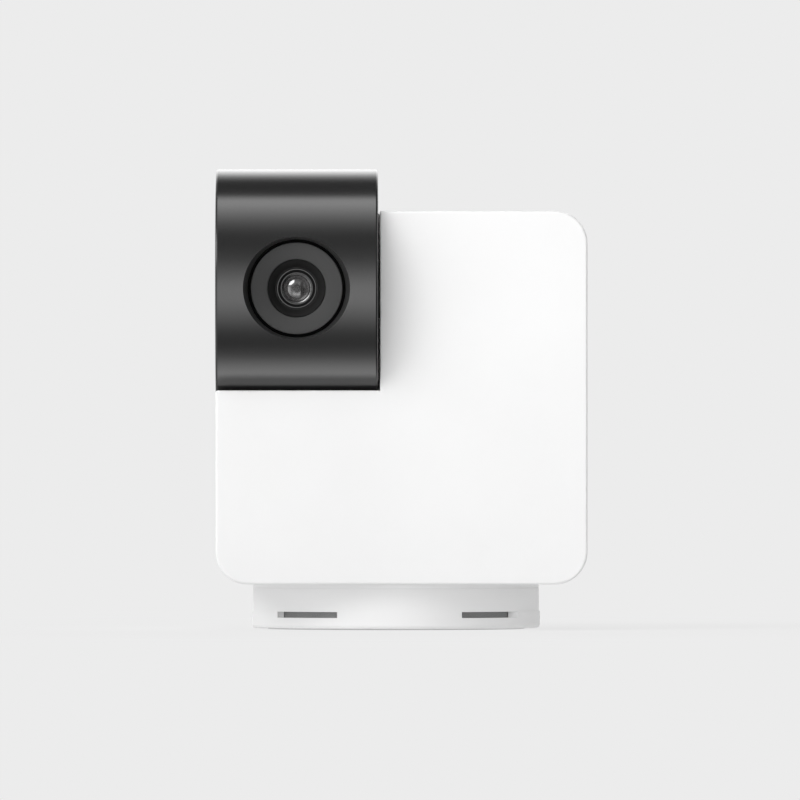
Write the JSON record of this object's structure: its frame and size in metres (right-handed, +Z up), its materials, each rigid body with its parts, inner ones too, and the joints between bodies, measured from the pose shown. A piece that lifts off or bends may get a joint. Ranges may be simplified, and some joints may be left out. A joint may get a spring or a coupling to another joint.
{
  "type": "pan and tilt pet camera",
  "caption": "Pet camera with a tilting drum head let into a rounded body that pans on a round foot.",
  "frame": {"origin": "centre of the foot's underside, on the pan axis", "axes": "+Z up, -Y the front that the lens faces at rest, +X to the viewer's right in front"},
  "size_m": [0.0744, 0.0762, 0.0924],
  "materials": {
    "white_shell": "fine satin moulded",
    "head_dark": "satin gloss moulded",
    "bezel_dark": "matt",
    "lens_black": "matt black",
    "lens_glass": "coated and polished",
    "filter_glass": "polished",
    "foot_rubber": "matt",
    "grey_acetal": "smooth",
    "dark_acetal": "smooth",
    "brass": "machined",
    "steel": "plated",
    "motor_steel": "plated",
    "sink_aluminium": "extruded",
    "circuit_board": "solder mask",
    "black_plastic": "moulded",
    "button_grey": "moulded",
    "lamp_clear": "clear"
  },
  "bodies": {
    "base": {"foot_pad": "foot_rubber", "base_cover": "white_shell", "base_housing": "white_shell", "base_screws": "steel", "pan_spindle": "grey_acetal", "pan_washer": "grey_acetal", "spindle_retainer": "steel", "pan_gear": "grey_acetal", "gear_screws": "steel", "speaker": "black_plastic", "power_board": "circuit_board", "power_inlet": "steel"},
    "body": {"front_shell": "white_shell", "rear_shell": "white_shell", "tilt_bushing": "dark_acetal", "pan_motor": "motor_steel", "tilt_motor": "motor_steel", "motor_screws": "steel", "main_board": "circuit_board", "chips": "black_plastic", "heat_sink": "sink_aluminium", "card_socket": "steel", "board_screws": "steel", "reset_switch": "black_plastic", "microphone": "black_plastic", "antenna": "circuit_board", "shell_screws": "steel"},
    "head": {"head_shell": "head_dark", "head_screws": "steel", "head_end_cap": "head_dark", "head_hub_cap": "head_dark", "tilt_gear": "grey_acetal", "gear_clip": "steel", "lens_bezel": "bezel_dark", "light_board": "circuit_board", "night_lights": "lamp_clear", "lens_hood": "lens_black", "lens_barrel": "lens_black", "lens_glass": "lens_glass", "lens_holder": "black_plastic", "filter_glass": "filter_glass", "image_sensor": "black_plastic", "camera_board": "circuit_board"},
    "pan_pinion": {"pan_pinion": "brass"},
    "tilt_pinion": {"tilt_pinion": "brass"},
    "reset_button": {"reset_button": "button_grey"}
  },
  "joints": [
    {"name": "pan", "type": "hinge", "parent": "base", "child": "body", "pos_m": [0, 0, 0.0092], "axis": [0, 0, 1], "range_deg": [-170, 170]},
    {"name": "tilt", "type": "hinge", "parent": "body", "child": "head", "pos_m": [-0.0036, -0.019, 0.0684], "axis": [-1, 0, 0], "range_deg": [-25, 75]},
    {"name": "pan_pinion_spin", "type": "hinge", "parent": "body", "child": "pan_pinion", "pos_m": [0.018, 0, 0.0124], "axis": [0, 0, 1], "range_deg": [-851, 851]},
    {"name": "tilt_pinion_spin", "type": "hinge", "parent": "body", "child": "tilt_pinion", "pos_m": [0, -0.01051, 0.05991], "axis": [-1, 0, 0], "range_deg": [-226, 76]},
    {"name": "reset_press", "type": "slide", "parent": "body", "child": "reset_button", "axis": [0, -1, 0], "range_m": [0, 0.0005], "stiffness_N_per_m": 400, "springref_m": -0.0005}
  ],
  "couplings": [
    {"joint": "pan_pinion_spin", "follows": "pan", "ratio": 5},
    {"joint": "tilt_pinion_spin", "follows": "tilt", "ratio": -3}
  ]
}
